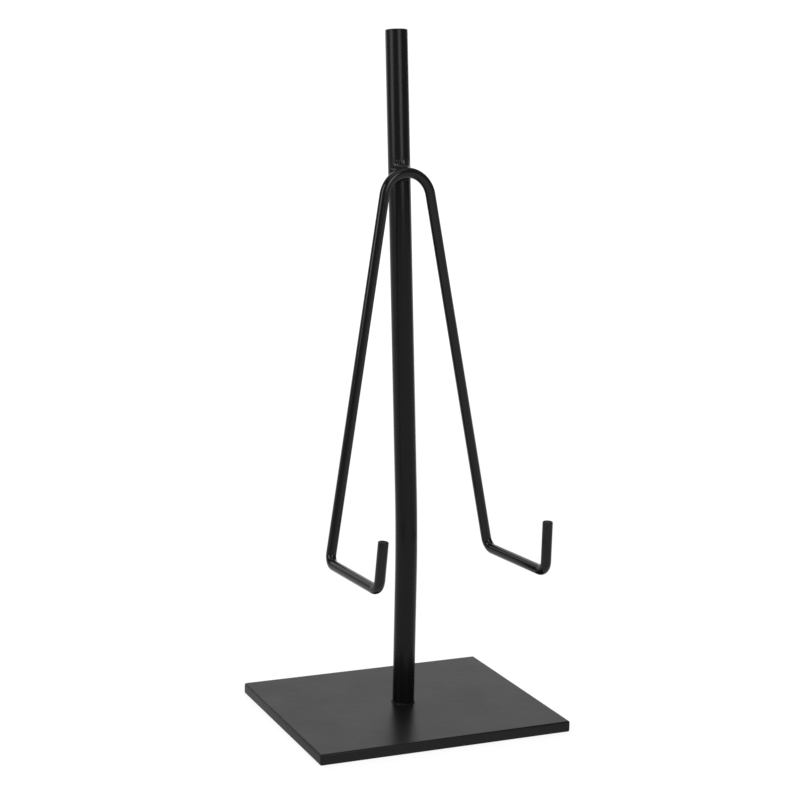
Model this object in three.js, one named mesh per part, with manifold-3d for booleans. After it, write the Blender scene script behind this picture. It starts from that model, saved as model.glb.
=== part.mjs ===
// A small welded steel display stand. A flat base plate carries an upright round bar that is bent
// once, so that its upper part leans back. A cradle bent from one round rod hangs across the front
// of the bar: an arch, two straight legs, two level arms and two upturned tips.
// Millimetres, +Z up, +Y to the back, +X to the right. The origin is the centre of the base's underside.

import * as THREE from "three";
import { mergeVertices } from "three/addons/utils/BufferGeometryUtils.js";
import Module from "manifold-3d";

const wasm = await Module();
wasm.setup();

// Base plate, cut from flat bar
const plateWidth = 153.2;
const plateDepth = 128;
const plateThickness = 6.35;
const plateCornerRadius = 1.2;
const plateEdgeRound = 1;

// Upright, one round bar
const postDiameter = 12.7;
const postBelowBend = 72.7; // straight length from the base to the start of the bend
const postBendRadius = 660;
const postLean = 4.9; // degrees that the upper part leans back
const postAboveBend = 259.4;
const postChamfer = 0.4;
const uprightTurn = 5.2; // degrees that the upright and its cradle are turned on the base

// Cradle, one round rod with five bends
const rodDiameter = 5.85;
const rodChamfer = 0.3;
const archBelowTop = 80.2; // from the top of the upright, along it, to the top of the arch's centreline
const archRadius = 15;
const legSpread = 10.2; // degrees between each leg and the upright
const legLength = 208.5; // from the end of the arch to the corner at the arm
const armLength = 60.5; // corner to corner
const armDrop = 5.3; // degrees below square to the legs, which brings the arms level
const armToe = 1; // degrees that each arm points outwards
const tipLength = { left: 27.4, right: 29.5 }; // corner to end, the two as cut by hand
const tipForward = 7.95; // degrees ahead of the legs' plane
const tipInward = 2.2;
const hookBendRadius = 6.5;
const cradleRoll = 0.8; // degrees that the cradle hangs off square to the upright

// Welds
const weldGap = 0.3; // between a weld and what it joins, and between two joined pieces
const footWeldLeg = 0.9;
const footWeldFace = 0.6; // where the bead's face turns, as a share of its leg on either side
const upperWeldRadius = 2;
const lowerWeldRadius = 1.6;
const weldSpread = 17; // degrees of the arch on each side of the middle that a weld follows
const beadOut = 0.6; // how far a bead's middle lies beyond the rod's edge, as a share of the bead's radius
const beadIn = 0.5; // how far it lies in front of the rod's back, as a share of the bead's radius

// Facets
const postSides = 32;
const rodSides = 20;
const weldSides = 12;
const latheSegments = 48;
const postBendSteps = 8;
const archSteps = 14;
const hookBendSteps = 7;
const weldSteps = 8;
const plateCornerSteps = 5;
const plateEdgeSteps = 3;
const cutMargin = 1; // how far a cutting solid reaches past what it cuts

const degrees = THREE.MathUtils.degToRad;
const postRadius = postDiameter / 2;
const rodRadius = rodDiameter / 2;
const postBendLength = postBendRadius * degrees(postLean);
const postLength = postBelowBend + postBendLength + postAboveBend;
const cradleForward = postRadius + rodRadius + weldGap; // from the upright's axis to the cradle's plane
const steel = { color: 0x1b1b1c, roughness: 0.45, metalness: 0 };

// A centreline given by stations, each with its point and its direction.
class StationCurve extends THREE.Curve {
  constructor(stations) {
    super();
    this.stations = stations;
  }
  at(t) {
    return this.stations[Math.round(t * (this.stations.length - 1))];
  }
  getPoint(t, target = new THREE.Vector3()) {
    return target.copy(this.at(t).point);
  }
  getPointAt(t, target) {
    return this.getPoint(t, target);
  }
  getTangentAt(t, target = new THREE.Vector3()) {
    return target.copy(this.at(t).direction);
  }
}

// A round bar along a list of stations.
function roundBar(stations, radius, sides) {
  const outline = [];
  for (let i = 0; i < sides; i++) {
    const angle = (2 * Math.PI * i) / sides;
    outline.push(new THREE.Vector2(radius * Math.cos(angle), radius * Math.sin(angle)));
  }
  return new THREE.ExtrudeGeometry(new THREE.Shape(outline), {
    steps: stations.length - 1,
    extrudePath: new StationCurve(stations),
  });
}

// The bend of a given radius between two straight runs that meet at a corner.
function bendStations(before, corner, after, radius, steps) {
  const back = before.clone().sub(corner).normalize();
  const ahead = after.clone().sub(corner).normalize();
  const half = back.angleTo(ahead) / 2;
  const centre = back.clone().add(ahead).normalize().multiplyScalar(radius / Math.sin(half)).add(corner);
  const start = back.clone().multiplyScalar(radius / Math.tan(half)).add(corner);
  const axis = ahead.clone().cross(back).normalize();
  const stations = [];
  for (let i = 0; i <= steps; i++) {
    const angle = ((Math.PI - 2 * half) * i) / steps;
    stations.push({
      point: start.clone().sub(centre).applyAxisAngle(axis, angle).add(centre),
      direction: back.clone().negate().applyAxisAngle(axis, angle),
    });
  }
  return stations;
}

// A path through corners, with a bend at each one but the two ends.
function bentPath(corners, bends) {
  const first = corners[0];
  const last = corners[corners.length - 1];
  const stations = [{ point: first, direction: corners[1].clone().sub(first).normalize() }];
  bends.forEach((bend, i) => {
    stations.push(...bendStations(corners[i], corners[i + 1], corners[i + 2], bend.radius, bend.steps));
  });
  stations.push({ point: last, direction: last.clone().sub(corners[corners.length - 2]).normalize() });
  return stations;
}

// A geometry as a manifold-3d solid, and back.
function toSolid(geometry) {
  const bare = geometry.clone();
  bare.deleteAttribute("normal");
  bare.deleteAttribute("uv");
  const merged = mergeVertices(bare, 1e-4);
  return new wasm.Manifold(
    new wasm.Mesh({
      numProp: 3,
      vertProperties: merged.attributes.position.array,
      triVerts: new Uint32Array(merged.index.array),
    }),
  );
}

function toGeometry(solid) {
  const mesh = solid.getMesh();
  const geometry = new THREE.BufferGeometry();
  geometry.setAttribute("position", new THREE.BufferAttribute(mesh.vertProperties, 3));
  geometry.setIndex(new THREE.BufferAttribute(mesh.triVerts, 1));
  geometry.computeVertexNormals();
  return geometry;
}

// A ring that bevels the end of a round bar: it turns about the bar's own direction there.
function chamferRing(station, radius, chamfer) {
  const inner = radius - chamfer - cutMargin;
  const outer = radius + cutMargin;
  const profile = [
    new THREE.Vector2(inner, cutMargin),
    new THREE.Vector2(outer, -chamfer - cutMargin),
    new THREE.Vector2(outer, cutMargin),
    new THREE.Vector2(inner, cutMargin),
  ];
  const ring = new THREE.LatheGeometry(profile, latheSegments);
  ring.applyQuaternion(
    new THREE.Quaternion().setFromUnitVectors(new THREE.Vector3(0, 1, 0), station.direction),
  );
  ring.translate(station.point.x, station.point.y, station.point.z);
  return toSolid(ring);
}

function namedMesh(name, geometry) {
  const mesh = new THREE.Mesh(geometry, new THREE.MeshStandardMaterial(steel));
  mesh.name = name;
  return mesh;
}

function basePlate() {
  const halfWidth = plateWidth / 2 - plateEdgeRound;
  const halfDepth = plateDepth / 2 - plateEdgeRound;
  const corner = plateCornerRadius - plateEdgeRound;
  const outline = new THREE.Shape();
  outline.moveTo(-halfWidth + corner, -halfDepth);
  outline.lineTo(halfWidth - corner, -halfDepth);
  outline.absarc(halfWidth - corner, -halfDepth + corner, corner, -Math.PI / 2, 0);
  outline.lineTo(halfWidth, halfDepth - corner);
  outline.absarc(halfWidth - corner, halfDepth - corner, corner, 0, Math.PI / 2);
  outline.lineTo(-halfWidth + corner, halfDepth);
  outline.absarc(-halfWidth + corner, halfDepth - corner, corner, Math.PI / 2, Math.PI);
  outline.lineTo(-halfWidth, -halfDepth + corner);
  outline.absarc(-halfWidth + corner, -halfDepth + corner, corner, Math.PI, 1.5 * Math.PI);
  const geometry = new THREE.ExtrudeGeometry(outline, {
    depth: plateThickness - 2 * plateEdgeRound,
    curveSegments: plateCornerSteps,
    bevelThickness: plateEdgeRound,
    bevelSize: plateEdgeRound,
    bevelSegments: plateEdgeSteps,
  });
  const mesh = namedMesh("base_plate", geometry);
  mesh.position.z = plateEdgeRound;
  return mesh;
}

// The upright's centreline at a length along it, from where it stands on the base.
function postStation(length) {
  const bent = THREE.MathUtils.clamp((length - postBelowBend) / postBendRadius, 0, degrees(postLean));
  const below = Math.min(length, postBelowBend);
  const above = Math.max(length - postBelowBend - postBendLength, 0);
  const direction = new THREE.Vector3(0, Math.sin(bent), Math.cos(bent));
  const point = new THREE.Vector3(
    0,
    postBendRadius * (1 - Math.cos(bent)),
    below + postBendRadius * Math.sin(bent),
  );
  return { point: point.addScaledVector(direction, above), direction };
}

function post() {
  const lengths = [weldGap];
  for (let i = 0; i <= postBendSteps; i++) {
    lengths.push(postBelowBend + (postBendLength * i) / postBendSteps);
  }
  lengths.push(postLength);
  const bar = toSolid(roundBar(lengths.map(postStation), postRadius, postSides));
  const ring = chamferRing(postStation(postLength), postRadius, postChamfer);
  return namedMesh("post", toGeometry(bar.subtract(ring)));
}

function footWeld() {
  const inner = postRadius + weldGap;
  const face = footWeldFace * footWeldLeg;
  const profile = [
    new THREE.Vector2(inner, weldGap),
    new THREE.Vector2(inner + footWeldLeg, weldGap),
    new THREE.Vector2(inner + face, weldGap + face),
    new THREE.Vector2(inner, weldGap + footWeldLeg),
    new THREE.Vector2(inner, weldGap),
  ];
  const geometry = new THREE.LatheGeometry(profile, latheSegments);
  geometry.rotateX(Math.PI / 2);
  return namedMesh("foot_weld", geometry);
}

// The cradle's own frame has its origin at the top of the arch's centreline and lies in the XZ plane.
// This puts it on the leaning part of the upright.
const cradlePlacement = new THREE.Matrix4()
  .makeRotationY(degrees(cradleRoll))
  .setPosition(0, -cradleForward, 0);

function cradleCorners() {
  const spread = degrees(legSpread);
  const apexToCorner = archRadius / Math.tan(spread) + legLength;
  const apex = new THREE.Vector3(0, 0, archRadius / Math.sin(spread) - archRadius);
  const corners = (side, tip) => {
    const leg = new THREE.Vector3(side * Math.sin(spread), 0, -Math.cos(spread));
    const arm = new THREE.Vector3(
      side * Math.sin(degrees(armToe)) * Math.cos(degrees(armDrop)),
      -Math.cos(degrees(armToe)) * Math.cos(degrees(armDrop)),
      -Math.sin(degrees(armDrop)),
    );
    const up = new THREE.Vector3(-side * Math.sin(degrees(tipInward)), -Math.sin(degrees(tipForward)), 1);
    const heel = apex.clone().addScaledVector(leg, apexToCorner);
    const toe = heel.clone().addScaledVector(arm, armLength);
    return [heel, toe, toe.clone().addScaledVector(up.normalize(), tip)];
  };
  return [...corners(-1, tipLength.left).reverse(), apex, ...corners(1, tipLength.right)];
}

function rodSolid(radius) {
  const hook = { radius: hookBendRadius, steps: hookBendSteps };
  const arch = { radius: archRadius, steps: archSteps };
  const stations = bentPath(cradleCorners(), [hook, hook, arch, hook, hook]);
  const geometry = roundBar(stations, radius, rodSides);
  return { stations, solid: toSolid(geometry) };
}

function cradleRod() {
  const { stations, solid } = rodSolid(rodRadius);
  const first = stations[0];
  const start = { point: first.point, direction: first.direction.clone().negate() };
  const end = stations[stations.length - 1];
  const trimmed = solid
    .subtract(chamferRing(start, rodRadius, rodChamfer))
    .subtract(chamferRing(end, rodRadius, rodChamfer));
  return namedMesh("cradle_rod", toGeometry(trimmed).applyMatrix4(cradlePlacement));
}

// A weld in the notch between the arch and the upright, above the arch (side 1) or below it (side -1).
function cradleWeld(name, radius, side) {
  const arcRadius = archRadius + side * (rodRadius + beadOut * radius);
  const inward = rodRadius - beadIn * radius;
  const stations = [];
  for (let i = 0; i <= weldSteps; i++) {
    const angle = degrees(weldSpread) * ((2 * i) / weldSteps - 1);
    stations.push({
      point: new THREE.Vector3(
        arcRadius * Math.sin(angle),
        inward,
        arcRadius * Math.cos(angle) - archRadius,
      ),
      direction: new THREE.Vector3(Math.cos(angle), 0, -Math.sin(angle)),
    });
  }
  const bead = roundBar(stations, radius, weldSides).applyMatrix4(cradlePlacement);
  const reach = postRadius + weldGap;
  const bar = new THREE.CylinderGeometry(reach, reach, 2 * archRadius, postSides);
  bar.rotateX(Math.PI / 2);
  const rod = toGeometry(rodSolid(rodRadius + weldGap).solid).applyMatrix4(cradlePlacement);
  const solid = toSolid(bead).subtract(toSolid(bar)).subtract(toSolid(rod));
  return namedMesh(name, toGeometry(solid));
}

function cradle() {
  const station = postStation(postLength - archBelowTop);
  const leaning = new THREE.Group();
  leaning.position.copy(station.point);
  leaning.rotation.x = -degrees(postLean);
  leaning.add(
    cradleRod(),
    cradleWeld("cradle_weld_upper", upperWeldRadius, 1),
    cradleWeld("cradle_weld_lower", lowerWeldRadius, -1),
  );
  return leaning;
}

const upright = new THREE.Group();
upright.position.z = plateThickness;
upright.rotation.z = degrees(uprightTurn);
upright.add(post(), footWeld(), cradle());

const stand = new THREE.Group();
stand.add(basePlate(), upright);

export default stand;
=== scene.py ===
import math

import bmesh
import bpy
from mathutils import Matrix, Vector, noise


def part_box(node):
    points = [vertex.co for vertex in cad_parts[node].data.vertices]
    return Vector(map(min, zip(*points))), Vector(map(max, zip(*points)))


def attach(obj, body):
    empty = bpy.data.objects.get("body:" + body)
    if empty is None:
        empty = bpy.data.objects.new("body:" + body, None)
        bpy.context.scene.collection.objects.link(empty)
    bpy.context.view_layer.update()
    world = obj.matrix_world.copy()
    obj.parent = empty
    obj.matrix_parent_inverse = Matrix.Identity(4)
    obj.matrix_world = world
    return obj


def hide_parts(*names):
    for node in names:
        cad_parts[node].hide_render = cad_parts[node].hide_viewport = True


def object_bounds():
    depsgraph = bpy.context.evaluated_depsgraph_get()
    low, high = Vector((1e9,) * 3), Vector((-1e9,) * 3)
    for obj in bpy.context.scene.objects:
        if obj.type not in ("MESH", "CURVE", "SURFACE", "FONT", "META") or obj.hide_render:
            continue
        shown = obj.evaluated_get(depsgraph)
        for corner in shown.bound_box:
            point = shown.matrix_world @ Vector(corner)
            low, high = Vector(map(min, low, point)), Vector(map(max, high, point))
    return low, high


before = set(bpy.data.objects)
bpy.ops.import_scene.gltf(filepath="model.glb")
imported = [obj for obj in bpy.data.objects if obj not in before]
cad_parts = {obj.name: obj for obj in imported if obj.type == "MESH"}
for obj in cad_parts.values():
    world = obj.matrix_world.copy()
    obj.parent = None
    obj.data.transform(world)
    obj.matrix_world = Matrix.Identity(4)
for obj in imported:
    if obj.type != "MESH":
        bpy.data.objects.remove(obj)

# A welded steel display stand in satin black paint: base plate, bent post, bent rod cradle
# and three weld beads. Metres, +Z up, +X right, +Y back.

cadBox = [list(corner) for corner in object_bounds()]
mm = 0.001

plateLow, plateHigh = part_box("base_plate")
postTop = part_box("post")[1].z


cameraView = {
    "azimuth": -23.7,  # degrees round the stand from straight in front
    "elevation": 10.03,
    "roll": -1.18,
    "lens": 83,
    "sensorWidth": 36,
    "distance": 1043.3 * mm,
    "aimRight": -8.7 * mm,  # from the middle of the whole stand
    "aimUp": -9.6 * mm,
}


def directionAt(azimuth, elevation):
    # from the stand towards a viewer or a lamp
    around, up = math.radians(azimuth), math.radians(elevation)
    flat = math.cos(up)
    return Vector((math.sin(around) * flat, -math.cos(around) * flat, math.sin(up)))


def standCentre():
    low, high = (Vector(corner) for corner in cadBox)
    return (low + high) / 2


def makeCamera(view):
    back = directionAt(view["azimuth"], view["elevation"])
    right = Vector((0, 0, 1)).cross(back).normalized()
    up = back.cross(right)
    data = bpy.data.cameras.new("camera")
    data.lens = view["lens"]
    data.sensor_width = view["sensorWidth"]
    camera = bpy.data.objects.new("camera", data)
    bpy.context.scene.collection.objects.link(camera)
    aim = standCentre() + right * view["aimRight"] + up * view["aimUp"]
    turn = Matrix((right, up, back)).transposed().to_4x4()
    roll = Matrix.Rotation(math.radians(-view["roll"]), 4, "Z")
    camera.matrix_world = Matrix.Translation(aim + back * view["distance"]) @ turn @ roll
    bpy.context.scene.camera = camera
    print("camera ready")


class Wire:
    # one output of a node; arithmetic on it adds Math nodes
    def __init__(self, graph, socket):
        self.graph = graph
        self.socket = socket

    def joined(self, operation, first, second):
        return self.graph.add("ShaderNodeMath", {"operation": operation}, {0: first, 1: second})

    def __add__(self, other):
        return self.joined("ADD", self, other)

    def __radd__(self, other):
        return self.joined("ADD", other, self)

    def __sub__(self, other):
        return self.joined("SUBTRACT", self, other)

    def __rsub__(self, other):
        return self.joined("SUBTRACT", other, self)

    def __mul__(self, other):
        return self.joined("MULTIPLY", self, other)

    def __rmul__(self, other):
        return self.joined("MULTIPLY", other, self)


class Graph:
    def __init__(self, tree):
        self.tree = tree
        self.tree.nodes.clear()

    def add(self, kind, settings, inputs, output=0):
        # any node: its type, its settings, and the values or wires of its sockets
        node = self.tree.nodes.new(kind)
        for name, value in settings.items():
            setattr(node, name, value)
        for name, value in inputs.items():
            if isinstance(value, Wire):
                self.tree.links.new(value.socket, node.inputs[name])
            else:
                node.inputs[name].default_value = value
        return Wire(self, node.outputs[output] if node.outputs else None)

    def noise(self, coords, size, detail, roughness=0.5):
        # size is the width of one lump, in metres
        sockets = {"Vector": coords, "Scale": 1 / size, "Detail": detail, "Roughness": roughness}
        return self.add("ShaderNodeTexNoise", {}, sockets)

    def between(self, value, low, high):
        # 0 at low, 1 at high, smooth in between
        sockets = {"Value": value, "From Min": low, "From Max": high}
        return self.add("ShaderNodeMapRange", {"interpolation_type": "SMOOTHSTEP"}, sockets)

    def mixed(self, share, first, second):
        settings = {"data_type": "RGBA"}
        return self.add("ShaderNodeMix", settings, {0: share, 6: first, 7: second}, 2)


def grey(shade, cool=1.0):
    return (shade, shade, shade * cool, 1)


def blackPaint(name, look):
    # satin paint: cloudy gloss, fine orange peel, a few nibs of dust, thin paint on the edges
    material = bpy.data.materials.new(name)
    material.use_nodes = True
    graph = Graph(material.node_tree)
    coords = graph.add("ShaderNodeTexCoord", {}, {}, "Object")
    streaked = graph.add("ShaderNodeMapping", {}, {"Vector": coords, "Scale": look["streak"]})

    clouds = graph.noise(streaked, look["cloudSize"], detail=3, roughness=0.6)
    peel = graph.noise(coords, look["peelSize"], detail=2, roughness=0.55)
    waves = graph.noise(streaked, look["waveSize"], detail=1)
    cells = {"Vector": coords, "Scale": 1 / look["nibSpacing"]}
    nibDistance = graph.add("ShaderNodeTexVoronoi", {"feature": "F1"}, cells)
    nibs = 1 - graph.between(nibDistance, 0, look["nibSize"] / look["nibSpacing"])
    pointiness = graph.add("ShaderNodeNewGeometry", {}, {}, "Pointiness")
    edges = graph.between(pointiness, look["edgeStart"], look["edgeEnd"])
    patches = graph.noise(coords, look["wearSize"], detail=3, roughness=0.6)
    worn = edges * graph.between(patches, look["wearStart"], look["wearEnd"])

    shade = graph.mixed(clouds, grey(look["darkest"]), grey(look["lightest"], look["cool"]))
    colour = graph.mixed(worn * look["wear"], shade, grey(look["wornShade"]))
    cloudGloss = (clouds - 0.5) * look["cloudRoughness"]  # a noise lies round 0.5
    peelGloss = (peel - 0.5) * look["peelRoughness"]
    gloss = look["roughness"] + cloudGloss + peelGloss - worn * look["wornPolish"]
    height = peel * look["peelHeight"] + waves * look["waveHeight"] + nibs * look["nibHeight"]
    bump = graph.add("ShaderNodeBump", {}, {"Strength": 1, "Distance": 1, "Height": height})
    paint = graph.add("ShaderNodeBsdfPrincipled", {}, {
        "Base Color": colour, "Roughness": gloss, "Normal": bump, "IOR": look["ior"],
    })
    graph.add("ShaderNodeOutputMaterial", {}, {"Surface": paint})
    return material


paintLook = {
    "darkest": 0.0042,
    "lightest": 0.0062,
    "cool": 1.05,  # how much bluer the lightest paint is
    "wornShade": 0.03,
    "wear": 0.5,
    "wearSize": 4 * mm,
    "wearStart": 0.4,
    "wearEnd": 0.62,
    "wornPolish": 0.06,
    "edgeStart": 0.53,
    "edgeEnd": 0.6,
    "roughness": 0.33,
    "cloudSize": 28 * mm,
    "cloudRoughness": 0.12,
    "peelSize": 1.1 * mm,
    "peelRoughness": 0.05,
    "peelHeight": 0.01 * mm,
    "waveSize": 14 * mm,
    "waveHeight": 0.12 * mm,
    "nibSpacing": 9 * mm,
    "nibSize": 0.35 * mm,
    "nibHeight": 0.05 * mm,
    "streak": (1, 1, 1),
    "ior": 1.22,
}


def platePaint():
    return blackPaint("satin_black_on_plate", paintLook)


def plateSidePaintWithPaintedLight():
    # the sawn sides of the plate, a little duller than its face; their colour is lighter than the face's,
    # which is painted light standing in for the light falling on the sides
    return blackPaint("satin_black_on_plate_sides_with_painted_light", paintLook | {
        # painted light: darkest and lightest are raised so the sides read lighter than the face
        "darkest": 0.0105,
        "lightest": 0.013,
        "cloudSize": 12 * mm,
        "roughness": 0.42,
        "ior": 1.18,
    })


barLook = paintLook | {
    "streak": (1, 1, 0.25),  # drawn bar: its clouds and waves run along it
    "cloudSize": 9 * mm,
    "cloudRoughness": 0.08,
    "waveSize": 7 * mm,
    "waveHeight": 0.03 * mm,
    "peelSize": 0.9 * mm,
    "peelHeight": 0.006 * mm,
}


def postPaint():
    return blackPaint("satin_black_on_post", barLook | {"roughness": 0.27})


def rodPaint():
    look = barLook | {"roughness": 0.17, "ior": 1.29, "cloudSize": 6 * mm}
    return blackPaint("satin_black_on_rod", look)


def endPaint():
    # the rod's sawn ends, where the paint dried matt
    look = paintLook | {"roughness": 0.55, "ior": 1.14, "cloudSize": 3 * mm}
    return blackPaint("matt_black_on_rod_ends", look)


weldLook = paintLook | {
    "cloudSize": 3 * mm,
    "peelSize": 0.6 * mm,
    "peelHeight": 0.02 * mm,
    "waveSize": 1.8 * mm,
    "waveHeight": 0.08 * mm,
}


def weldPaint():
    return blackPaint("satin_black_on_weld", weldLook | {"roughness": 0.22, "ior": 1.32})


def dullWeldPaint():
    # where little spray reached
    return blackPaint("dull_black_on_weld", weldLook | {"roughness": 0.45, "ior": 1.16})


def linkMesh(name, mesh, material):
    # a smooth object from a bmesh, with its normals outwards
    data = bpy.data.meshes.new(name)
    bmesh.ops.recalc_face_normals(mesh, faces=mesh.faces)
    for face in mesh.faces:
        face.smooth = True
    mesh.to_mesh(data)
    mesh.free()
    piece = bpy.data.objects.new(name, data)
    bpy.context.scene.collection.objects.link(piece)
    data.materials.append(material)
    return piece


def skin(mesh, rings, closed=False):
    # quads between neighbouring rings; the two ends are capped unless the rings close on themselves
    count = len(rings[0])
    pairs = list(zip(rings, rings[1:]))
    if closed:
        pairs.append((rings[-1], rings[0]))
    for near, far in pairs:
        for i in range(count):
            j = (i + 1) % count
            mesh.faces.new((near[i], near[j], far[j], far[i]))
    if not closed:
        mesh.faces.new(rings[0])
        mesh.faces.new(rings[-1])


def easedEdge(size, shape, steps):
    # the broken edge of a cut end, as (inset, setback) from its flat face outwards;
    # shape 1 is a quarter round and 2 a straight chamfer
    pairs = []
    for i in range(steps + 1):
        turn = math.pi / 2 * i / steps
        inset = size * (1 - math.sin(turn) ** shape)
        setback = size * (1 - math.cos(turn) ** shape)
        pairs.append((inset, setback))
    return pairs


def roundBar(name, stations, radius, sides, startEdge, endEdge, material, endMaterial=None):
    # a round bar along its centreline; stations are (point, direction) pairs
    first, firstAlong = stations[0]
    last, lastAlong = stations[-1]
    sections = [(first + firstAlong * back, firstAlong, radius - inset) for inset, back in startEdge]
    sections += [(point, along, radius) for point, along in stations[1:-1]]
    sections += [(last - lastAlong * back, lastAlong, radius - inset) for inset, back in reversed(endEdge)]
    mesh = bmesh.new()
    side = firstAlong.orthogonal().normalized()
    before = firstAlong
    rings = []
    for point, along, reach in sections:
        # each ring's first point follows the bar round its bends, so the skin doesn't twist
        side = before.rotation_difference(along) @ side
        before = along
        across = along.cross(side)
        ring = []
        for i in range(sides):
            angle = 2 * math.pi * i / sides
            ring.append(mesh.verts.new(point + (side * math.cos(angle) + across * math.sin(angle)) * reach))
        rings.append(ring)
    skin(mesh, rings)
    piece = linkMesh(name, mesh, material)
    if endMaterial:
        piece.data.materials.append(endMaterial)
        faces = list(piece.data.polygons)
        lastRing = (len(rings) - 2) * sides
        for face in faces[:sides] + faces[lastRing:]:
            face.material_index = 1
    return piece


def place(piece, matrix, node):
    # moves a finished mesh to its place, hands it over and says how well it fills the node's box
    piece.data.transform(matrix)
    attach(piece, "root")
    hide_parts(node)
    low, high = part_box(node)
    corners = [Vector(corner) for corner in piece.bound_box]
    pieceLow = Vector(map(min, *corners))
    pieceHigh = Vector(map(max, *corners))
    off = max(max(map(abs, pieceLow - low)), max(map(abs, pieceHigh - high)))
    print(f"{piece.name}: {len(piece.data.polygons)} faces, {off / mm:.2f} mm from the box of {node}")


# base plate, a piece of flat bar with softened edges
plate = {
    "cornerRadius": 1.2 * mm,
    "cornerSteps": 8,
    "edgeRound": 1 * mm,
    "edgeSteps": 8,
    "innerRadius": 0.2 * mm,  # where the rounded edge meets the flat faces
    "sideSlope": 0.35,  # upward share of the normal under which a face belongs to the sides
    "supportInset": 0.4 * mm,  # a ring just inside the edge, which keeps the flat face flat
}


def plateOutline(inset):
    # a rectangle with round corners, drawn in from the plate's sides
    radius = max(plate["cornerRadius"] - inset, plate["innerRadius"])
    points = []
    for cornerX, cornerY, start in ((1, 1, 0), (-1, 1, 90), (-1, -1, 180), (1, -1, 270)):
        centreX = (plateHigh.x - inset - radius) * cornerX
        centreY = (plateHigh.y - inset - radius) * cornerY
        for i in range(plate["cornerSteps"] + 1):
            turn = math.radians(start + 90 * i / plate["cornerSteps"])
            points.append((centreX + radius * math.cos(turn), centreY + radius * math.sin(turn)))
    return points


def makePlate():
    edge = easedEdge(plate["edgeRound"], 1, plate["edgeSteps"])
    levels = [(plate["edgeRound"] + plate["supportInset"], plateLow.z)]
    levels += [(inset, plateLow.z + setback) for inset, setback in edge]
    levels += [(inset, plateHigh.z - setback) for inset, setback in reversed(edge)]
    levels.append((plate["edgeRound"] + plate["supportInset"], plateHigh.z))
    mesh = bmesh.new()
    rings = [[mesh.verts.new((x, y, z)) for x, y in plateOutline(inset)] for inset, z in levels]
    skin(mesh, rings)
    piece = linkMesh("basePlate", mesh, platePaint())
    piece.data.materials.append(plateSidePaintWithPaintedLight())
    # the upright faces get the side paint, whose lighter colour is painted light on the sides
    for face in piece.data.polygons:
        if abs(face.normal.z) < plate["sideSlope"]:
            face.material_index = 1
    place(piece, Matrix.Identity(4), "base_plate")


# post, a round bar with one long gentle bend
post = {
    "radius": 6.35 * mm,
    "belowBend": 72.7 * mm,
    "bendRadius": 660 * mm,
    "lean": math.radians(4.9),
    "turn": math.radians(5.2),  # the whole upright is turned a little on the base
    "topEdge": 0.4 * mm,
    "topEdgeShape": 1.6,
    "topEdgeSteps": 6,
    "topRing": 1.6,  # inset of a ring on the flat top, in broken edges
    "footEdge": 0.3 * mm,
    "footEdgeSteps": 3,
    "sides": 72,
    "bendSteps": 24,
}
post["bendLength"] = post["bendRadius"] * post["lean"]


def postStation(length):
    # the centreline's point and direction at a length along it, from the top of the plate
    bent = min(max((length - post["belowBend"]) / post["bendRadius"], 0), post["lean"])
    below = min(length, post["belowBend"])
    above = max(length - post["belowBend"] - post["bendLength"], 0)
    along = Vector((0, math.sin(bent), math.cos(bent)))
    back = post["bendRadius"] * (1 - math.cos(bent))
    up = below + post["bendRadius"] * math.sin(bent)
    return Vector((0, back, up)) + along * above, along


def postLength():
    # as long as the frame's post is high, whose highest point is the front of its leaning top
    bendTop = postStation(post["belowBend"] + post["bendLength"])[0].z
    rim = (post["radius"] - post["topEdge"]) * math.sin(post["lean"])
    straight = (postTop - plateHigh.z - bendTop - rim) / math.cos(post["lean"])
    return post["belowBend"] + post["bendLength"] + straight


def uprightPlace():
    return Matrix.Translation((0, 0, plateHigh.z)) @ Matrix.Rotation(post["turn"], 4, "Z")


def makePost():
    lengths = [0, post["belowBend"] / 2]
    for i in range(post["bendSteps"] + 1):
        lengths.append(post["belowBend"] + post["bendLength"] * i / post["bendSteps"])
    lengths += [(lengths[-1] + postLength()) / 2, postLength()]
    topRing = (post["topEdge"] * post["topRing"], 0)
    piece = roundBar(
        "postBar",
        [postStation(length) for length in lengths],
        post["radius"],
        post["sides"],
        easedEdge(post["footEdge"], 1, post["footEdgeSteps"]),
        [topRing] + easedEdge(post["topEdge"], post["topEdgeShape"], post["topEdgeSteps"]),
        postPaint(),
    )
    place(piece, uprightPlace(), "post")


# cradle, one rod bent into an arch, two legs, two arms and two tips
cradle = {
    "rodRadius": 2.912 * mm,
    "gap": 0.3 * mm,  # between the rod and the post, which the welds bridge
    "belowTop": 80.2 * mm,
    "archRadius": 15 * mm,
    "spread": math.radians(10.2),
    "legLength": 208.5 * mm,
    "armLength": 60.5 * mm,
    "armDrop": math.radians(5.3),
    "armToe": math.radians(1),
    "tips": {-1: 27.4 * mm, 1: 29.5 * mm},  # left and right
    "tipForward": math.radians(7.95),
    "tipInward": math.radians(2.2),
    "hookRadius": 6.5 * mm,
    "roll": math.radians(0.8),  # it hangs a little off square
    "tipEdge": 0.35 * mm,
    "tipEdgeShape": 1.5,
    "tipEdgeSteps": 5,
    "tipRing": 1.8,  # inset of a ring on the flat end, in broken edges
    "sides": 44,
    "archSteps": 40,
    "hookSteps": 16,
}


def leaningPlace():
    # the frame of the leaning part of the upright, at the height of the arch
    point, along = postStation(postLength() - cradle["belowTop"])
    return uprightPlace() @ Matrix.Translation(point) @ Matrix.Rotation(-post["lean"], 4, "X")


def cradlePlace():
    forward = post["radius"] + cradle["rodRadius"] + cradle["gap"]
    return Matrix.Translation((0, -forward, 0)) @ Matrix.Rotation(cradle["roll"], 4, "Y")


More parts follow.
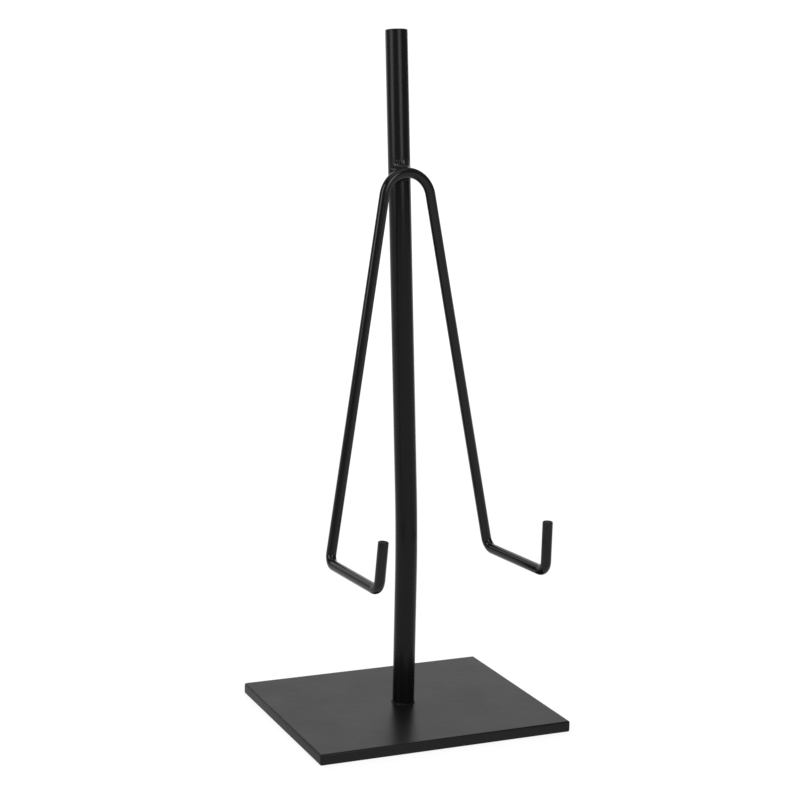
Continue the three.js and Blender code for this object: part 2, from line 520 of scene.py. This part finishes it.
def cradleCorners():
    # from the left tip, over the arch, to the right tip; the arch's top is the origin
    spread, drop, toe = cradle["spread"], cradle["armDrop"], cradle["armToe"]
    toHeel = cradle["archRadius"] / math.tan(spread) + cradle["legLength"]
    apex = Vector((0, 0, cradle["archRadius"] / math.sin(spread) - cradle["archRadius"]))
    sides = {}
    for side, tip in cradle["tips"].items():
        leg = Vector((side * math.sin(spread), 0, -math.cos(spread)))
        level = Vector((side * math.sin(toe), -math.cos(toe), 0))
        arm = level * math.cos(drop) + Vector((0, 0, -math.sin(drop)))
        inward, forward = math.sin(cradle["tipInward"]), math.sin(cradle["tipForward"])
        up = Vector((-side * inward, -forward, 1)).normalized()
        heel = apex + leg * toHeel
        hook = heel + arm * cradle["armLength"]
        sides[side] = [heel, hook, hook + up * tip]
    return sides[-1][::-1] + [apex] + sides[1]


def bend(before, corner, after, radius, steps):
    # the stations of a bend between two straight runs that meet at a corner
    back = (before - corner).normalized()
    ahead = (after - corner).normalized()
    half = back.angle(ahead) / 2
    centre = corner + (back + ahead).normalized() * (radius / math.sin(half))
    start = corner + back * (radius / math.tan(half))
    axis = ahead.cross(back)
    stations = []
    for i in range(steps + 1):
        turn = Matrix.Rotation((math.pi - 2 * half) * i / steps, 3, axis)
        stations.append((centre + turn @ (start - centre), turn @ -back))
    return stations


def makeRod():
    corners = cradleCorners()
    hook = (cradle["hookRadius"], cradle["hookSteps"])
    arch = (cradle["archRadius"], cradle["archSteps"])
    stations = [(corners[0], (corners[1] - corners[0]).normalized())]
    for i, (radius, steps) in enumerate([hook, hook, arch, hook, hook]):
        stations += bend(*corners[i:i + 3], radius, steps)
    stations.append((corners[-1], (corners[-1] - corners[-2]).normalized()))
    edge = [(cradle["tipEdge"] * cradle["tipRing"], 0)]
    edge += easedEdge(cradle["tipEdge"], cradle["tipEdgeShape"], cradle["tipEdgeSteps"])
    radius, sides = cradle["rodRadius"], cradle["sides"]
    piece = roundBar("cradleRod", stations, radius, sides, edge, edge, rodPaint(), endPaint())
    place(piece, leaningPlace() @ cradlePlace(), "cradle_rod")


# weld round the foot of the post
footWeld = {
    "leg": 0.7 * mm,
    "legWander": 0.22 * mm,
    "wideSeed": 1.7,
    "widePace": 1.9,
    "highSeed": 5.2,
    "highPace": 2.3,
    "bulge": 0.08 * mm,
    "ripple": 0.03 * mm,
    "rippleCount": 38,
    "steps": 228,
    "sectionSteps": 8,
    "root": 0.6 * mm,  # how far the hidden side reaches into the post
}

# welds above and below the arch; "from" and "to" are degrees round the arch from its top
cradleWelds = {
    "upper": {
        "side": 1, "leg": 4.3 * mm, "onRod": 8, "from": -20, "to": 15,
        "hollow": 0.85, "wander": 0.12, "ripple": 0.12, "seed": 3.1,
    },
    "lower": {
        "side": -1, "leg": 1.9 * mm, "onRod": 35, "from": -16, "to": 15,
        "hollow": 0.7, "wander": 0.25, "ripple": 0.05, "seed": 8.6,
    },
}
beadShape = {
    "steps": 60,
    "sectionSteps": 10,
    "rippleCount": 7,
    "taperPower": 3,  # the higher, the blunter the bead's ends
    "thinnest": 0.02,
    "wanderPace": 2.2,
    "widest": 0.98,  # how far round the post a bead may run, as a share of its radius
    "root": 0.8 * mm,
}


def wander(turn, seed, pace):
    # a smooth wander between about -1 and 1 that closes on itself after a whole turn
    return 2 * noise.noise(Vector((pace * math.cos(turn), pace * math.sin(turn), seed)))


def filletPoints(start, control, end, steps):
    # a bowed line from one toe of a weld to the other, drawn towards the control point
    points = []
    for i in range(steps + 1):
        t = i / steps
        points.append(start * (1 - t) ** 2 + control * 2 * t * (1 - t) + end * t ** 2)
    return points


def makeFootWeld():
    mesh = bmesh.new()
    rings = []
    for i in range(footWeld["steps"]):
        turn = 2 * math.pi * i / footWeld["steps"]
        ripple = footWeld["ripple"] * abs(math.sin(footWeld["rippleCount"] * turn / 2))
        out = Vector((math.cos(turn), math.sin(turn), 0))
        up = Vector((0, 0, 1))
        wideWander = wander(turn, footWeld["wideSeed"], footWeld["widePace"])
        highWander = wander(turn, footWeld["highSeed"], footWeld["highPace"])
        wide = footWeld["leg"] + footWeld["legWander"] * wideWander
        high = footWeld["leg"] + footWeld["legWander"] * highWander
        onPlate = out * (post["radius"] + wide)
        onPost = out * post["radius"] + up * high
        bulge = (out + up) * (footWeld["bulge"] + ripple)
        middle = (onPlate + onPost) / 2 + bulge
        points = filletPoints(onPlate, middle, onPost, footWeld["sectionSteps"])
        inside = out * (post["radius"] - footWeld["root"])
        points += [inside + up * high, inside]
        rings.append([mesh.verts.new(point) for point in points])
    skin(mesh, rings, closed=True)
    piece = linkMesh("footWeld", mesh, dullWeldPaint())
    place(piece, uprightPlace(), "foot_weld")


def makeCradleWeld(name, node, weld, material):
    # a fillet in the notch between the arch and the post; all points are in the leaning frame
    placed = cradlePlace()
    centre = placed @ Vector((0, 0, -cradle["archRadius"]))
    back = Vector((0, 1, 0))
    rodRadius = cradle["rodRadius"]
    onRod = math.radians(weld["onRod"])
    widest = post["radius"] * beadShape["widest"]
    mesh = bmesh.new()
    rings = []
    for i in range(beadShape["steps"] + 1):
        share = 2 * i / beadShape["steps"] - 1
        along = weld["from"] + (weld["to"] - weld["from"]) * i / beadShape["steps"]
        angle = math.radians(along) + cradle["roll"]
        radial = Vector((math.sin(angle), 0, math.cos(angle)))
        away = radial * weld["side"]
        taper = math.sqrt(max(1 - abs(share) ** beadShape["taperPower"], beadShape["thinnest"]))
        spot = Vector((share * beadShape["wanderPace"], weld["seed"], 0))
        stray = 1 + weld["wander"] * 2 * noise.noise(spot)
        ripple = weld["ripple"] * abs(math.sin(math.pi * beadShape["rippleCount"] * share / 2))
        leg = weld["leg"] * taper * (stray + ripple)
        middle = centre + radial * cradle["archRadius"]
        start = middle + away * rodRadius * math.cos(onRod) + back * rodRadius * math.sin(onRod)
        end = middle + away * (rodRadius + leg)
        end.x = max(-widest, min(widest, end.x))
        end.y = -math.sqrt(post["radius"] ** 2 - end.x ** 2)
        notch = end - away * leg  # the corner that a hollow bead sinks into
        control = ((start + end) / 2).lerp(notch, weld["hollow"] - ripple)
        points = filletPoints(start, control, end, beadShape["sectionSteps"])
        points.append(end + back * beadShape["root"])
        points.append(middle + back * (rodRadius + beadShape["root"]))
        points.append(middle + back * rodRadius / 2)
        rings.append([mesh.verts.new(point) for point in points])
    skin(mesh, rings)
    piece = linkMesh(name, mesh, material)
    place(piece, leaningPlace(), node)


# pale floor, pale horizon and a dim sky, so that the black paint has something to mirror
room = {
    "floorSize": 12,
    "floorCells": 8,
    "floorShade": 0.15,
    "floorRoughness": 0.8,
    "mottleSize": 0.4,
    "mottleShade": 0.98,  # of the floor's shade
    "floorGlow": 0.85,  # under the stand, where the lamps add the rest of the white
    "farGlow": 1.05,
    "glowNear": 0.6,  # metres from the stand, over which the floor's own glow takes over
    "glowFar": 3,
    "horizonGlow": 1.05,
    "skyGlow": 0.2,
    "horizonTop": 0.06,  # sine of the elevation up to which the horizon is pale
    "horizonFade": 0.16,
    "lampColor": (0.965, 0.97, 1),
}

# lamps; azimuth in degrees round the stand from straight in front, distance and size in metres
softboxes = [
    {
        "name": "keyRight", "azimuth": 8, "elevation": 32.5,
        "distance": 1.6, "size": (0.62, 0.86), "glow": 6.5,
    },
    {
        "name": "keyLeft", "azimuth": -86, "elevation": 30,
        "distance": 1.6, "size": (0.7, 0.9), "glow": 5.8,
    },
    {
        "name": "overhead", "azimuth": -24, "elevation": 86,
        "distance": 2.0, "size": (1.8, 1.8), "glow": 1.2,
    },
    {
        "name": "backdrop", "azimuth": 168, "elevation": 27,
        "distance": 2.4, "size": (4.4, 1.4), "glow": 1.28,
    },
]


def makeFloor():
    mesh = bmesh.new()
    cells, size = room["floorCells"], room["floorSize"]
    bmesh.ops.create_grid(mesh, x_segments=cells, y_segments=cells, size=size)
    material = bpy.data.materials.new("pale_floor")
    material.use_nodes = True
    graph = Graph(material.node_tree)
    coords = graph.add("ShaderNodeTexCoord", {}, {}, "Object")
    mottle = graph.noise(coords, room["mottleSize"], detail=2)
    darker = grey(room["floorShade"] * room["mottleShade"])
    shade = graph.mixed(mottle, grey(room["floorShade"]), darker)
    away = graph.add("ShaderNodeVectorMath", {"operation": "LENGTH"}, {0: coords}, "Value")
    farness = graph.between(away, room["glowNear"], room["glowFar"])
    glow = graph.mixed(farness, grey(room["floorGlow"]), grey(room["farGlow"]))
    surface = graph.add("ShaderNodeBsdfPrincipled", {}, {
        "Base Color": shade, "Roughness": room["floorRoughness"],
        "Emission Color": glow, "Emission Strength": 1,
    })
    graph.add("ShaderNodeOutputMaterial", {}, {"Surface": surface})
    floor = linkMesh("floor", mesh, material)
    floor.location.z = plateLow.z
    print("floor laid")


def makeWorld():
    world = bpy.data.worlds.new("studio")
    bpy.context.scene.world = world
    world.use_nodes = True
    graph = Graph(world.node_tree)
    direction = graph.add("ShaderNodeTexCoord", {}, {}, "Generated")
    height = graph.add("ShaderNodeSeparateXYZ", {}, {"Vector": direction}, "Z")
    above = graph.between(height, room["horizonTop"], room["horizonFade"])
    shade = graph.mixed(above, grey(room["horizonGlow"]), grey(room["skyGlow"]))
    background = graph.add("ShaderNodeBackground", {}, {"Color": shade, "Strength": 1})
    graph.add("ShaderNodeOutputWorld", {}, {"Surface": background})


def makeSoftbox(box):
    # an area lamp aimed at the stand; its glow is its brightness whatever its size
    wide, high = box["size"]
    data = bpy.data.lights.new(box["name"], "AREA")
    data.shape = "RECTANGLE"
    data.size = wide
    data.size_y = high
    data.energy = box["glow"] * math.pi * wide * high
    data.color = room["lampColor"]
    lamp = bpy.data.objects.new(box["name"], data)
    bpy.context.scene.collection.objects.link(lamp)
    back = directionAt(box["azimuth"], box["elevation"])
    lamp.location = standCentre() + back * box["distance"]
    lamp.rotation_euler = back.to_track_quat("Z", "Y").to_euler()
    lamp.visible_camera = False


makeCamera(cameraView)
makePlate()
makePost()
makeRod()
makeFootWeld()
makeCradleWeld("cradleWeldUpper", "cradle_weld_upper", cradleWelds["upper"], weldPaint())
makeCradleWeld("cradleWeldLower", "cradle_weld_lower", cradleWelds["lower"], dullWeldPaint())
print("stand built")
makeFloor()
makeWorld()
for box in softboxes:
    makeSoftbox(box)
bpy.context.scene.view_settings.view_transform = "Standard"
print("room lit")
